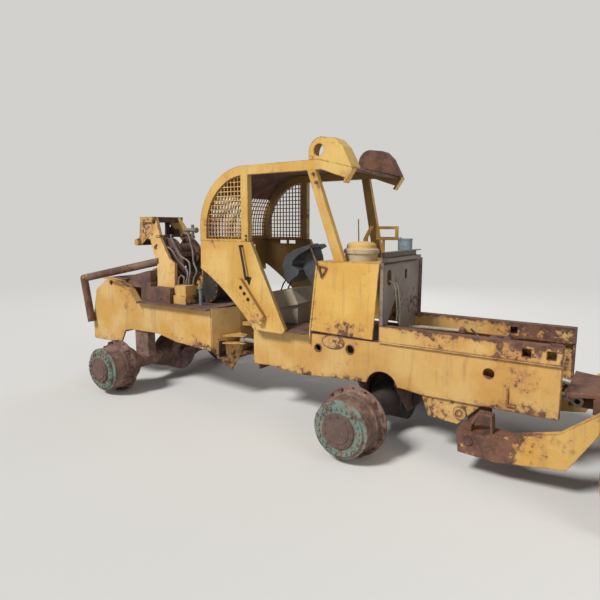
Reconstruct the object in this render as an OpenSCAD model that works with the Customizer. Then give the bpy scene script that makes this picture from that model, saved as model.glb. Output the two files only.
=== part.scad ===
/* [Stance] */
// Distance from the articulation pin to the front axle
front_base = 1450; // [1300:10:1600]
// Distance from the articulation pin to the rear axle
rear_base = 1450; // [1300:10:1600]
// Diameter of the wheel flange the stripped hub stands on
rim_flange_d = 560; // [500:5:620]

/* [Front frame] */
// Half width over the side plates of the front frame
ff_half = 430; // [400:5:470]
// Rear end of the side plates ahead of the pin
ff_rear = 157; // [150:1:200]
// Front end of the side plates ahead of the pin
ff_front = 2838; // [2780:1:2900]
// Height of the top rails
ff_top = 980; // [940:5:1020]
// Height of the straight part of the lower edge
ff_bot = 466; // [440:2:490]
// Thickness of the side plates
ff_t = 20; // [12:1:30]
// Height of the raised band along the top of the side plates
band_h = 128; // [90:2:160]
// Thickness of the raised band
band_t = 12; // [8:1:16]
// Width of the inward top flange of a rail
rail_w = 78; // [50:2:110]
// Radius of the axle arch in the side plate
arch_r = 142; // [110:2:170]
// Distance of the axle arch ahead of the axle
arch_dx = 62; // [0:2:80]
// Diameter of the rearmost service hole
hole_a_d = 60; // [40:2:80]
// Diameter of the middle service hole
hole_b_d = 70; // [50:2:90]
// Diameter of the front service hole
hole_c_d = 82; // [60:2:100]
// Size of the square slots in the band
slot_s = 60; // [40:2:80]
// Distance between the square slots
slot_pitch = 160; // [120:5:200]
// Distance of the front slot behind the front end of the rail
slot_back = 68; // [60:2:110]
// Thickness of the inner web of a rail
web_t = 10; // [6:1:16]
// Thickness of the cross members and belly plates
cross_t = 16; // [10:1:24]

/* [Articulation] */
// Diameter of the articulation pins
hinge_pin_d = 70; // [50:2:90]
// Thickness of the rear frame's hinge lugs
hinge_lug_t = 44; // [30:2:60]
// Thickness of each fork plate of the front frame
hinge_fork_t = 28; // [20:2:40]
// Height of the lower hinge lug
hinge_low = 470; // [440:5:500]
// Height of the upper hinge lug
hinge_up = 780; // [740:2:784]
// Gap between a lug and its fork plates
hinge_gap = 6; // [4:1:10]

/* [Cab] */
// Half width over the cab at the roof and the belt line
cab_half = 524; // [500:2:560]
// Height of the roof
roof_top = 2340; // [2250:5:2420]
// Radius of the rear curve of the roof beams
hoop_r = 575; // [450:5:620]
// Place of the centre of the rear curve ahead of the pin
hoop_x = 145; // [100:5:200]
// Depth of the roof beams and the rear hoop
beam_d = 84; // [60:2:110]
// Width of the roof beams across the machine
beam_w = 60; // [40:2:80]
// Length of the straight roof ahead of the curve
roof_flat = 788; // [600:2:850]
// Length of the sloping roof at the front
visor_run = 326; // [240:2:420]
// Drop of the sloping roof at the front
visor_drop = 84; // [40:2:140]
// Height of the belt line under the screens
belt_z = 1650; // [1600:5:1700]
// Width of the rear door post
post_w = 84; // [60:2:110]
// Height of the entry sill
sill_z = 860; // [840:2:900]
// Place of the front end of the side panel on the sill
sill_x = 597; // [500:1:640]
// Thickness of the cab sheets
sheet_t = 8; // [5:1:12]
// Pitch of the screen bars
mesh_pitch = 42; // [36:1:70]
// Diameter of the screen bars
mesh_d = 9; // [5:1:12]
// Length of the roof lamp hoods
hood_l = 416; // [340:2:460]
// Height of the roof lamp hoods over the roof
hood_h = 177; // [140:1:220]
// Width of the roof lamp hoods across the machine
hood_w = 150; // [100:5:200]

/* [Cowl] */
// Half width over the cowl side panels
cowl_half = 446; // [438:1:500]
// Place of the rear edge of the cowl at its top
cowl_rear = 897; // [860:1:920]
// Place of the front edge of the cowl
cowl_front = 1478; // [1440:2:1500]
// Height of the cowl
cowl_top = 1492; // [1450:2:1540]
// Diameter of the round bowl on the cowl
bowl_d = 310; // [240:5:340]
// Height of the round bowl
bowl_h = 168; // [110:2:190]

/* [Hubs and axles] */
// Distance of the outer face of the hub from the centre line
hub_out = 1060; // [980:2:1090]
// Distance of the wheel flange from the centre line
flange_y = 800; // [760:2:830]
// Thickness of the wheel flange
flange_t = 22; // [14:1:30]
// Diameter of the hub face
face_d = 400; // [340:5:440]
// Diameter of the end cover on the hub face
cover_d = 276; // [220:2:300]
// Number of wheel studs
stud_n = 16; // [10:1:20]
// Diameter of the circle of the wheel studs
stud_pcd = 528; // [500:2:536]
// Diameter of a stud hole
stud_hole_d = 24; // [16:1:30]
// Diameter of the axle spindle
spindle_d = 150; // [110:2:180]
// Diameter of the axle tube
tube_d = 170; // [140:2:200]
// Diameter of the differential housing
diff_d = 400; // [340:5:440]

/* [Blade] */
// Place of the arm pivot ahead of the articulation pin
arm_x = 2300; // [2260:5:2340]
// Height of the arm pivot
arm_z = 275; // [250:5:300]
// Distance of the outer face of an arm from the centre line
arm_out = 660; // [620:5:700]
// Thickness of the front part of an arm
arm_t = 60; // [40:2:80]
// Width of the boxed rear end of an arm
arm_box_w = 196; // [150:2:200]
// Diameter of the arm pins
arm_pin_d = 60; // [44:2:76]
// Place of the back of the blade
blade_x = 3084; // [3060:2:3120]
// Height of the blade's lower edge
blade_low = 60; // [30:5:140]
// Height of the blade
blade_h = 640; // [560:10:720]
// Half width of the blade
blade_half = 985; // [900:5:1000]
// Thickness of the blade sheet
blade_t = 16; // [10:1:24]
// Radius of the blade's curve
blade_r = 620; // [560:10:800]
// Height of the cross plate behind the blade
cross_z = 640; // [600:5:680]
// Half width of the cross plate
cross_half = 340; // [320:2:345]
// Thickness of the cross plate
cross_plate_t = 24; // [16:1:26]
// Rear edge of the cross plate
cross_x = 2858; // [2850:2:2920]

/* [Rear frame] */
// Half width over the rear side plates
rf_half = 500; // [460:5:520]
// Front face of the rear box behind the pin
rf_front = 320; // [300:5:360]
// Rear end of the side plates behind the pin
rf_rear = 2310; // [2250:5:2380]
// Height of the deck
deck_z = 950; // [930:2:960]
// Thickness of the rear side plates
rf_t = 20; // [12:1:30]
// Height of the rounded rear ears
ear_top = 1204; // [1150:2:1260]
// Place of the pin hole in the rear ears behind the pin
ear_x = 1935; // [1880:5:1980]
// Diameter of the pin hole in the rear ears
ear_hole_d = 56; // [40:2:70]
// Height of the arch top
arch_top = 1900; // [1800:5:1960]
// Half width over the arch legs at their feet
arch_foot = 405; // [380:5:430]
// Place of the front edge of the arch's feet behind the pin
arch_x = 970; // [900:5:1000]
// Inward slant of the arch legs in degrees
arch_tilt = 16; // [12:1:18]
// Thickness of the arch legs
arch_leg_t = 40; // [24:2:60]
// Thickness of the wrapped butt plate
butt_t = 16; // [10:1:24]
// Diameter of the bent guard bars
bar_d = 88; // [60:2:100]

/* [Winch] */
// Place of the winch drum behind the pin
drum_x = 1280; // [1260:5:1300]
// Height of the winch drum
drum_z = 1490; // [1450:5:1500]
// Diameter of the drum barrel
drum_d = 200; // [140:5:240]
// Diameter of the drum flanges
drum_flange_d = 340; // [280:5:350]
// Length of the drum between the outer faces of the flanges
drum_w = 300; // [240:5:310]
// Diameter of the drum's shaft
shaft_d = 70; // [50:2:90]
// Diameter of the fairlead roller behind the arch
roller_d = 76; // [60:2:90]
// Diameter of the gear case on the deck
gear_d = 300; // [240:5:310]

/* [Cylinders] */
// Outer diameter of the steering barrels
steer_d = 92; // [70:2:110]
// Diameter of the steering rods
steer_rod_d = 45; // [30:1:56]
// Outer diameter of the lift barrels
lift_d = 96; // [70:2:110]
// Diameter of the lift rods
lift_rod_d = 50; // [30:1:60]

/* [Hoses] */
// Outer diameter of the hoses on the arch
hose_d = 20; // [12:1:24]

/* [Hidden] */
$fn = 64;
fit = 0.3;
axle_z = rim_flange_d / 2;
blade_front = blade_x + 150;
bar_rear = rf_rear + 130;
x_shift = (bar_rear - blade_front) / 2;
inner_half = ff_half - ff_t;
band_z = ff_top - band_h;
band_x = cowl_front + sheet_t;
floor_z = sill_z - 20;
deck_t = 14;
deck_out = 66;
base_h = 166;
foot_z = deck_z + deck_t + base_h;
leg_len = (arch_top - foot_z) / cos(arch_tilt);
hoop_z = roof_top - hoop_r;
hoop_back = hoop_x - hoop_r;
post_front = hoop_x + 38;
post_rear = post_front - post_w;
roof_bend = hoop_x + roof_flat;
steer_z = 645;
bulk_x = ff_rear + 45;
steer_pin_d = 38;
lift_pin_d = 40;
belly_z = ff_bot + 6 + cross_t;
screen_top = 2085;
// Front edge of a side panel from the sill up to the belt line
door_edge = [[sill_x - 153, 1166], [sill_x - 250, 1366], [209, belt_z]];
visor_x = roof_bend + visor_run;
steer_a = [720, 330];
steer_b = [-100, 280];
lift_a = [2010, 745];
lift_b = [2925, 560];
lift_y = 190;
web_y = ff_half - rail_w;
slot_list = [ff_front - slot_back, ff_front - slot_back - slot_pitch];
// Service holes: distance ahead of the axle, height, diameter
hole_list = [[-557, 719, hole_a_d], [-235, 746, hole_b_d], [911, 722, hole_c_d]];
// Rim of an arch leg: distance behind the front edge of its foot, share of the leg's length
leg_rim = [[269, -0.1], [0, -0.1], [0, 0.06], [56, 0.34], [158, 0.4], [354, 0.675], [507, 1], [702, 1],
  [529, 0.655], [373, 0.377], [339, 0.325], [269, 0.03]];
// Hoses from the arch's cross bar down to the valve block, points in order
hose_end = foot_z + 30.6;
hose_list = [
  [[-1362, -186, 1664], [-1361, -187, 1638], [-1350, -193, 1606], [-1300, -205, 1546],
    [-1226, -214, 1470], [-1130, -226, 1340], [-1010, -262, 1256], [-900, -318, 1236],
    [-890, -330, 1200], [-890, -330, hose_end]],
  [[-1352, -167, 1664], [-1351, -168, 1640], [-1340, -177, 1610], [-1290, -208, 1568],
    [-1190, -218, 1520], [-1090, -224, 1420], [-940, -240, 1310], [-856, -310, 1240],
    [-850, -336, 1200], [-850, -336, hose_end]],
  [[-1339.4, -100, 1678], [-1320, -100, 1679], [-1300, -106, 1684], [-1266, -156, 1690],
    [-1200, -206, 1650], [-1110, -216, 1530], [-1040, -218, 1456], [-900, -240, 1400], [-810, -316, 1284],
    [-806, -338, 1218], [-806, -340, 1190], [-806, -340, hose_end]],
  [[-1339.4, 60, 1678], [-1318, 59, 1682], [-1270, 50, 1712], [-1150, 0, 1690], [-1052, -60, 1600],
    [-970, -110, 1500], [-910, -160, 1390], [-800, -224, 1300], [-784, -284, 1236],
    [-782, -296, 1196], [-782, -296, hose_end]],
  [[-1386, -184, 1664], [-1385, -185, 1638], [-1374, -195, 1602], [-1290, -227, 1460],
    [-1180, -250, 1320], [-1050, -276, 1225], [-960, -312, 1250], [-918, -372, 1240],
    [-916, -385, 1200], [-916, -385, hose_end]]];

yellow = [0.86, 0.66, 0.30];
rust = [0.45, 0.32, 0.27];
hub_red = [0.70, 0.47, 0.40];
dark = [0.22, 0.21, 0.20];
grey = [0.55, 0.52, 0.48];

// Side profile (x, z) given a thickness, from y0 towards +y
module slab(y0, t) {
  translate([0, y0 + t, 0])
    rotate([90, 0, 0])
      linear_extrude(height = t)
        children();
}

// The piece and its mirror on the other side of the machine
module pair() {
  children();
  mirror([0, 1, 0]) children();
}

// Box between two corners
module span(a, b) {
  translate(a) cube([b[0] - a[0], b[1] - a[1], b[2] - a[2]]);
}

// Round bar along y
module rod_y(x, y0, y1, z, d) {
  translate([x, y0, z])
    rotate([-90, 0, 0])
      cylinder(h = y1 - y0, d = d);
}

// Round bar between two points
module bar(a, b, d) {
  v = b - a;
  len = norm(v);
  translate(a)
    rotate([0, acos(v[2] / len), atan2(v[1], v[0])])
      cylinder(h = len, d = d);
}

module place() {
  translate([x_shift, 0, 0]) children();
}

// Outline of a front side plate, the arch and the service holes taken out
module side_outline() {
  difference() {
    polygon([
      [ff_rear, ff_bot - 4], [ff_rear + 209, ff_bot + 7], [front_base - 772, ff_bot - 27],
      [front_base - 430, ff_bot + 1], [front_base - 90, ff_bot + 16], [front_base + 240, ff_bot + 22],
      [front_base + 400, ff_bot], [ff_front, ff_bot],
      [ff_front, ff_top], [band_x, ff_top], [band_x, floor_z],
      [ff_rear + 60, floor_z], [ff_rear, floor_z - 40]]);
    translate([front_base + arch_dx, ff_bot - 10]) circle(r = arch_r);
    for (h = hole_list)
      translate([front_base + h[0], h[1]]) circle(d = h[2]);
  }
}

// Side plates with the raised band, the slots, the box rails and the foot brackets
module frame_sides() {
  mid = (band_z + ff_top) / 2;
  lip = 8;
  end_t = 16;
  foot = [ff_front - 343, 65, 120];
  color(yellow) pair() {
    difference() {
      union() {
        slab(-ff_half, ff_t) side_outline();
        span([band_x, -ff_half - band_t, band_z], [ff_front, -ff_half + 2, ff_top]);
        span([band_x, -ff_half - band_t - lip, band_z - lip], [ff_front, -ff_half + 2, band_z + 2]);
        span([band_x, -ff_half - band_t, ff_top - lip], [ff_front, -web_y, ff_top]);
        span([band_x, -web_y - web_t, band_z], [ff_front, -web_y, ff_top]);
        span([ff_front - end_t, -ff_half, ff_bot], [ff_front, -web_y - web_t + 1, ff_top]);
      }
      for (x = slot_list)
        span([x - slot_s / 2, -ff_half - 30, mid - slot_s / 2],
          [x + slot_s / 2, -web_y - web_t - 10, mid + slot_s / 2]);
      span([ff_front - 497, -web_y - web_t - 1, mid - 28], [ff_front - 441, -web_y + 1, mid + 28]);
    }
    span([foot[0], -ff_half - 22, ff_bot + 44], [foot[0] + 12, -ff_half, ff_bot + 44 + foot[2]]);
    span([foot[0], -ff_half - 22, ff_bot + 44], [foot[0] + foot[1], -ff_half, ff_bot + 56]);
  }
}

// Rear bulkhead with the windows that the steering cylinders pass through
module bulkhead() {
  y = inner_half;
  port_h = 62;
  color(rust)
    difference() {
      span([bulk_x, -y, hinge_low - 60], [bulk_x + cross_t, y, floor_z]);
      pair()
        span([bulk_x - 1, -y + 14, steer_z - port_h], [bulk_x + cross_t + 1, -steer_b[1] + 90,
          steer_z + port_h]);
    }
}

// Cross members, belly plates, the lugs of the cylinders, and the lugs and pins of the blade arms
module frame_cross() {
  y = inner_half;
  lug_t = 16;
  low = ff_bot + 6;
  mid_x = front_base - 330;
  fore_x = front_base + 400;
  end_x = ff_front - 138;
  arm_lug_d = 170;
  color(rust) {
    span([bulk_x + cross_t, -y, 500 - cross_t], [mid_x + 1, y, 500]);
    span([mid_x, -y, 500 - cross_t], [mid_x + cross_t, y, 760]);
    pair() difference() {
      for (z = [steer_z - 31 - lug_t, steer_z + 31])
        translate([steer_a[0], -steer_a[1], z])
          linear_extrude(height = lug_t)
            union() {
              circle(r = 44);
              translate([-44, steer_a[1] - y]) square([88, y - steer_a[1]]);
            }
      translate([steer_a[0], -steer_a[1], steer_z - 100]) cylinder(h = 200, d = steer_pin_d);
    }
    pair() translate([steer_a[0], -steer_a[1], steer_z - 59]) cylinder(h = 118, d = steer_pin_d);
    span([fore_x - 20, -y, low], [fore_x - 20 + cross_t, y, 620]);
    span([fore_x - 5, -y, low], [end_x + 1, y, belly_z]);
    difference() {
      span([end_x, -y, low], [end_x + 90, y, low + 52]);
      span([end_x + cross_t, -y - 1, belly_z], [end_x + 91, y + 1, low + 52 - cross_t]);
    }
    pair() {
      for (dy = [-33 - lug_t, 33])
        slab(-lift_y + dy, lug_t) {
          translate(lift_a) circle(r = 46);
          polygon([[lift_a[0] - 90, belly_z - 1], [lift_a[0] + 90, belly_z - 1],
            [lift_a[0] + 45, lift_a[1]], [lift_a[0] - 45, lift_a[1]]]);
        }
      rod_y(lift_a[0], -lift_y - 60, -lift_y + 60, lift_a[1], lift_pin_d);
      slab(-y + 24, 30) {
        translate([arm_x, arm_z]) circle(d = arm_lug_d);
        translate([arm_x - arm_lug_d / 2, arm_z]) square([arm_lug_d, low + 1 - arm_z]);
      }
      rod_y(arm_x, -arm_out - 12, -y + 25, arm_z, arm_pin_d);
    }
  }
}

// Fork plates and pins of the articulation
module hinge_fork() {
  color(rust) difference() {
    union() {
      for (z = [hinge_low, hinge_up])
        for (s = [-1, 1])
          translate([0, 0, z + s * (hinge_lug_t / 2 + hinge_gap + hinge_fork_t / 2) - hinge_fork_t / 2])
            linear_extrude(height = hinge_fork_t)
              union() {
                circle(r = 92);
                polygon([[0, -92], [bulk_x, -250], [bulk_x, 250], [0, 92]]);
              }
    }
    for (z = [hinge_low, hinge_up])
      translate([0, 0, z - 100]) cylinder(h = 200, d = hinge_pin_d);
  }
  color(dark)
    for (z = [hinge_low, hinge_up])
      translate([0, 0, z - hinge_lug_t / 2 - hinge_gap - hinge_fork_t])
        cylinder(h = hinge_lug_t + 2 * hinge_gap + 2 * hinge_fork_t + 14, d = hinge_pin_d);
}

// Lower hanger plates with their bosses and the stub pins in them
module hangers() {
  boss_x = arm_x - 138;
  boss_z = arm_z + 99;
  boss_d = 100;
  low = ff_bot + 6;
  color(yellow) pair() {
    slab(-inner_half, 22)
      polygon([[arm_x - 451, low], [arm_x - 387, arm_z + 20], [arm_x - 153, arm_z + 6], [arm_x + 26, low]]);
    difference() {
      rod_y(boss_x, -inner_half - 14, -inner_half + 1, boss_z, boss_d);
      rod_y(boss_x, -inner_half - 15, -inner_half - 6, boss_z, boss_d * 0.6);
    }
    rod_y(boss_x, -inner_half - 12, -inner_half - 5, boss_z, boss_d * 0.36);
  }
}

// Housing, tubes, flanges and spindles of an axle, about its own centre
module axle_body() {
  tube_half = 640;
  nose_d = 150;
  rotate([90, 0, 0]) {
    cylinder(h = 2 * tube_half, d = tube_d, center = true);
    cylinder(h = 2 * (flange_y + 90), d = spindle_d, center = true);
  }
  rotate([0, 90, 0]) cylinder(h = 300, d = diff_d, center = true);
  rotate([0, 90, 0]) cylinder(h = 420, d = nose_d, center = true);
  for (s = [-1, 1]) {
    translate([0, s * 170, 0])
      rotate([-90 * s, 0, 0])
        cylinder(h = 210, d1 = diff_d * 0.75, d2 = tube_d);
    translate([0, s * tube_half, 0])
      rotate([-90 * s, 0, 0])
        cylinder(h = 24, d = 330);
  }
}

module front_axle() {
  color(dark) translate([front_base, 0, axle_z]) axle_body();
}

// Plates that carry the trunnions of the front axle
module axle_cradle() {
  color(rust)
    for (s = [-1, 1])
      translate([front_base + s * 180, 0, 0])
        difference() {
          translate([-12, 0, 0])
            rotate([90, 0, 90])
              linear_extrude(height = 24)
                polygon([[-inner_half, ff_bot + 30], [-inner_half, 620], [inner_half, 620],
                  [inner_half, ff_bot + 30], [130, 190], [-130, 190]]);
          translate([-20, 0, axle_z]) rotate([0, 90, 0]) cylinder(h = 40, d = 150);
        }
}

// Floor of the cab with the risers that carry it on the frame
module cab_floor() {
  color(rust) {
    span([ff_rear + 70, -cab_half + sheet_t, floor_z], [cowl_rear - 96, cab_half - sheet_t, floor_z + 8]);
    span([cowl_rear - 97, -ff_half, floor_z], [cowl_front, ff_half, floor_z + 8]);
  }
}

// Outline of the sheet below the belt line, curved along its lower edge
module side_panel_outline() {
  run = 673;
  rear_low = 1375;
  polygon(concat(
    [[hoop_back + 4, belt_z], [hoop_back - 6, rear_low]],
    [for (i = [0 : 8]) let (t = i / 8)
      [hoop_back - 6 + run * t, rear_low - 360 * t - 195 * t * t]],
    [[sill_x - 30, floor_z - 20], [sill_x, sill_z]],
    door_edge));
}

// Side sheets with the folded jambs along the door edge, and two slots in the left one
module cab_side_panels() {
  jamb_w = 52;
  color(yellow) difference() {
    pair() {
      slab(-cab_half, sheet_t) side_panel_outline();
      slab(-cab_half, 40)
        difference() {
          intersection() {
            side_panel_outline();
            translate([0, floor_z + 8 + fit]) square([1000, belt_z - floor_z - 8 - fit]);
          }
          translate([-jamb_w, 0]) polygon(concat([[hoop_back, belt_z + 1], [hoop_back, 0], [sill_x, 0]],
            [[sill_x, sill_z]], door_edge, [[door_edge[2][0], belt_z + 1]]));
        }
    }
    for (x = [-211, -91])
      span([x, cab_half - sheet_t - 1, belt_z - 50], [x + 90, cab_half + 1, belt_z - 14]);
  }
}

// Rear sheet of the cab below the rear screen
module cab_rear_panel() {
  color(yellow)
    difference() {
      span([hoop_back + 4, -cab_half + sheet_t, 1300], [hoop_back + 4 + sheet_t, cab_half - sheet_t,
        belt_z]);
      for (y = [-60, 240])
        span([hoop_back, y, 1560], [hoop_back + 40, y + 90, 1590]);
    }
}

// Outline of a roof beam with the rear hoop, the belt rail and the door post
module hoop_outline() {
  difference() {
    union() {
      intersection() {
        translate([hoop_x, hoop_z]) circle(r = hoop_r);
        translate([hoop_back, hoop_z]) square(hoop_r);
      }
      translate([hoop_back, belt_z]) square([hoop_r, hoop_z - belt_z]);
      polygon([[hoop_x - 1, roof_top - beam_d], [hoop_x - 1, roof_top], [roof_bend, roof_top],
        [visor_x, roof_top - visor_drop], [visor_x - 49, roof_top - visor_drop - beam_d],
        [roof_bend + 37, roof_top - beam_d]]);
      translate([post_rear, belt_z]) square([post_w, roof_top - beam_d - belt_z + 4]);
    }
    intersection() {
      union() {
        intersection() {
          translate([hoop_x, hoop_z]) circle(r = hoop_r - beam_d);
          translate([hoop_back, hoop_z]) square(hoop_r);
        }
        translate([hoop_back + beam_d, belt_z - 1]) square([hoop_r, hoop_z - belt_z + 2]);
      }
      translate([hoop_back + beam_d - 2, belt_z + 22]) square([post_rear - hoop_back - beam_d + 2, 700]);
    }
  }
}

// Roof beams, hoops, belt rails and door posts, with a slanted plate on each beam end
module cab_frame() {
  plate_t = 18;
  plate_w = beam_w + 16;
  lean = 34.7;
  color(yellow) {
    pair() {
      slab(-cab_half, beam_w) difference() {
        hoop_outline();
        translate([post_front, belt_z - 10]) square([300, hoop_z - belt_z + 9]);
      }
      slab(-cab_half - 8, plate_w)
        translate([visor_x, roof_top - visor_drop])
          rotate(-lean)
            translate([-2, -134]) square([plate_t, 131]);
    }
    span([hoop_back, -cab_half + beam_w - 1, belt_z], [hoop_back + 50, cab_half - beam_w + 1, belt_z + 40]);
  }
}

// Forward posts from the roof down and inward to the cowl
module front_pillars() {
  color(yellow) pair()
    hull() {
      translate([roof_bend - 98, -cab_half, roof_top - beam_d - 6]) cube([78, 50, 6]);
      translate([cowl_rear + 138, -cowl_half + 41, cowl_top]) cube([95, 50, 4]);
    }
}

// Roof sheet between the beams, its front edge a thin lip
module roof() {
  skin = hoop_r - 6;
  top = roof_top - 6;
  low_a = 180 - asin((screen_top + 4 - hoop_z) / skin);
  arc = [for (i = [0 : 24]) low_a + (90 - low_a) * i / 24];
  lip_x = visor_x - 24;
  lip_z = top - (lip_x - roof_bend) * visor_drop / visor_run;
  color(rust)
    slab(-cab_half + beam_w, 2 * (cab_half - beam_w))
      polygon(concat(
        [for (a = arc) [hoop_x + skin * cos(a), hoop_z + skin * sin(a)]],
        [[roof_bend, top], [lip_x, lip_z], [lip_x - 4, lip_z - 24], [lip_x - 12, lip_z - 22],
          [lip_x - 9, lip_z - sheet_t + 2], [roof_bend, top - sheet_t]],
        [for (i = [24 : -1 : 0]) [hoop_x + (skin - sheet_t) * cos(arc[i]),
          hoop_z + (skin - sheet_t) * sin(arc[i])]]));
}

// Flat screen bars filling an outline
module grid(w, h) {
  for (x = [mesh_pitch / 2 : mesh_pitch : w])
    translate([x - mesh_d / 2, 0]) square([mesh_d, h]);
  for (z = [mesh_pitch / 2 : mesh_pitch : h])
    translate([0, z - mesh_d / 2]) square([w, mesh_d]);
}

// Bar screens in the rear quarters
module quarter_screens() {
  w = post_rear - hoop_back - beam_d + 10;
  color(yellow) pair()
    slab(-cab_half + 14, mesh_d)
      difference() {
        intersection() {
          union() {
            translate([hoop_x, hoop_z]) circle(r = hoop_r - beam_d - fit);
            translate([hoop_back + beam_d + fit, belt_z]) square([w, hoop_z - belt_z]);
          }
          translate([hoop_back + beam_d + fit, belt_z + 22 + fit])
            square([post_rear - hoop_back - beam_d - 2 * fit, roof_top]);
          translate([hoop_back + beam_d, belt_z + 22]) grid(w, 620);
        }
      }
}

// Bar screen across the rear, bent to the curve of the hoops
module rear_screen() {
  y = cab_half - beam_w - fit;
  in = 20;
  rail_h = 40;
  color(yellow)
    intersection() {
      slab(-y, 2 * y)
        union() {
          difference() {
            translate([hoop_x, hoop_z]) circle(r = hoop_r - in);
            translate([hoop_x, hoop_z]) circle(r = hoop_r - in - mesh_d);
            translate([hoop_back, hoop_z - 700]) square([1400, 700]);
          }
          translate([hoop_back + in, belt_z + rail_h + fit]) square([mesh_d, hoop_z - belt_z - rail_h]);
        }
      translate([hoop_back, -y, belt_z + rail_h])
        rotate([90, 0, 90])
          linear_extrude(height = hoop_r)
            grid(2 * y, screen_top - belt_z - rail_h);
    }
}

// Line of the top of a roof beam, closed far below
module below_roof() {
  polygon([[hoop_x, roof_top], [roof_bend, roof_top], [visor_x, roof_top - visor_drop],
    [visor_x + 200, roof_top - visor_drop - 200], [visor_x, roof_top - 500], [hoop_x, roof_top - 500]]);
}

// Side outline of a lamp hood: round at the rear, sloping down at the front, moved in by t
module hood_outline(t) {
  r = 119;
  x0 = visor_x + 6 - hood_l;
  z1 = roof_top + hood_h;
  difference() {
    union() {
      translate([x0 + r, z1 - r]) circle(r = r - t);
      polygon([[x0 + t, z1 - r], [x0 + r, z1 - t], [x0 + r + 133, z1 - 20 - t], [x0 + r + 204, z1 - 89 - t],
        [x0 + hood_l - 10 - t, z1 - 245], [x0 + hood_l - t, z1 - 290], [x0 + t, z1 - 290]]);
    }
    below_roof();
  }
}

// Hoods over the roof lamps, each outer cheek with a hole, the left hood closed on its inner side
module lamp_hoods() {
  cheek_t = 10;
  eye_d = 97;
  color(yellow) {
    pair()
      difference() {
        slab(-cab_half, hood_w) hood_outline(0);
        slab(-cab_half + cheek_t, hood_w) union() {
          hood_outline(cheek_t);
          translate([0, -cheek_t]) hood_outline(cheek_t);
        }
        rod_y(visor_x + 6 - hood_l + 99, -cab_half - 10, -cab_half + 20, roof_top + hood_h - 103, eye_d);
      }
    slab(cab_half - hood_w, cheek_t) hood_outline(0);
  }
}

// Side and top panels of the cowl, the strips down their rear edges, and the brackets left on top
module cowl() {
  side_t = sheet_t + 2;
  strip_w = 16;
  foot_x = cowl_rear - 74;
  color(yellow) {
    pair() {
      slab(-cowl_half, side_t)
        polygon([[foot_x, floor_z + 30], [cowl_rear, cowl_top], [cowl_front, cowl_top],
          [cowl_front - 50, floor_z + 18]]);
      slab(-cowl_half - 4, side_t)
        polygon([[foot_x - 14, floor_z - 89], [foot_x - strip_w, floor_z + 30],
          [cowl_rear - strip_w, cowl_top],
          [cowl_rear, cowl_top], [foot_x + 2, floor_z + 20], [foot_x - 4, floor_z - 89]]);
    }
    span([cowl_rear, -cowl_half + side_t, cowl_top - side_t], [cowl_front, cowl_half - side_t, cowl_top]);
    for (x = [cowl_front - 230, cowl_front - 70])
      span([x, 96, cowl_top - 1], [x + 24, 104, cowl_top + 200]);
    difference() {
      span([cowl_front - 290, 92, cowl_top + 175], [cowl_front - 76, 104, cowl_top + 298]);
      span([cowl_front - 262, 90, cowl_top + 203], [cowl_front - 104, 106, cowl_top + 272]);
    }
    slab(92, 12)
      polygon([[cowl_front - 420, cowl_top - 1], [cowl_front - 380, cowl_top - 1],
        [cowl_front - 376, cowl_top + 190],
        [cowl_front - 322, cowl_top + 300], [cowl_front - 352, cowl_top + 306],
          [cowl_front - 420, cowl_top + 180]]);
  }
}

// Upright slot with round ends, centred at the given place
module slot_hole(y, z, w, h) {
  for (s = [-1, 1])
    translate([cowl_front - 5, y, z + s * (h - w) / 2])
      rotate([0, 90, 0])
        cylinder(h = 60, d = w);
  span([cowl_front - 5, y - w / 2, z - (h - w) / 2], [cowl_front + 55, y + w / 2, z + (h - w) / 2]);
}

// Front wall of the cowl with its cable holes, a torn opening, and the channel along the top
module firewall() {
  top = cowl_top + 91;
  left = -ff_half + 20;
  right = ff_half - 100;
  lip = 54;
  color(grey)
    difference() {
      union() {
        span([cowl_front, -ff_half + 1, floor_z], [band_x, ff_half - 1, cowl_top + 10]);
        span([cowl_front, left, cowl_top - 16], [band_x, right, top]);
        span([cowl_front, left, top - 8], [cowl_front + lip, right, top]);
        span([cowl_front, left, cowl_top + 8], [cowl_front + lip, right, cowl_top + 42]);
        span([cowl_front, left, cowl_top - 16], [cowl_front + 30, right, cowl_top - 8]);
        for (y = [-ff_half + 1, ff_half - 9])
          span([cowl_front, y, ff_top + fit], [cowl_front + 34, y + 8, cowl_top + 10]);
      }
      slot_hole(-262, 1366, 80, 130);
      slot_hole(99, 1372, 50, 90);
      translate([cowl_front - 5, 0, 0])
        rotate([90, 0, 90])
          linear_extrude(height = 60)
            polygon([[-330, 900], [-138, 1158], [-20, 900]]);
    }
}

// Domed bowl on the cowl with its rim and lid
module cowl_bowl() {
  r = bowl_d / 2;
  h = bowl_h;
  color(yellow)
    translate([1178, -175, cowl_top])
      rotate_extrude()
        polygon([[0, 0], [r - 15, 0], [r - 12, h - 108], [r, h - 102], [r, h - 71], [r - 9, h - 65],
          [r - 25, h - 56], [r - 27, h - 28], [r - 45, h - 12], [r - 95, h - 2], [0, h]]);
}

// Steering column with the curved cover of the dash
module dash_console() {
  deck = floor_z + 8;
  color(dark) {
    slab(-240, 290)
      polygon([[547, 1338], [422, 1248], [385, 1340], [369, 1441], [404, 1510], [500, 1572], [667, 1623],
        [690, 1596], [560, 1530], [486, 1466], [478, 1420], [560, 1380]]);
    slab(-150, 110)
      polygon([[660, deck], [760, deck], [745, 1300], [700, 1520], [668, 1600], [600, 1540],
        [540, 1380], [640, 1260]]);
  }
}

// Seat box with a sloping lid on a set-back base
module control_box() {
  deck = floor_z + 8;
  color(grey) {
    slab(-170, 280)
      polygon([[262, deck], [500, deck], [500, 1045], [270, 985]]);
    slab(-200, 340)
      polygon([[289, 983], [214, 1153], [446, 1192], [526, 1050]]);
  }
}

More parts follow.
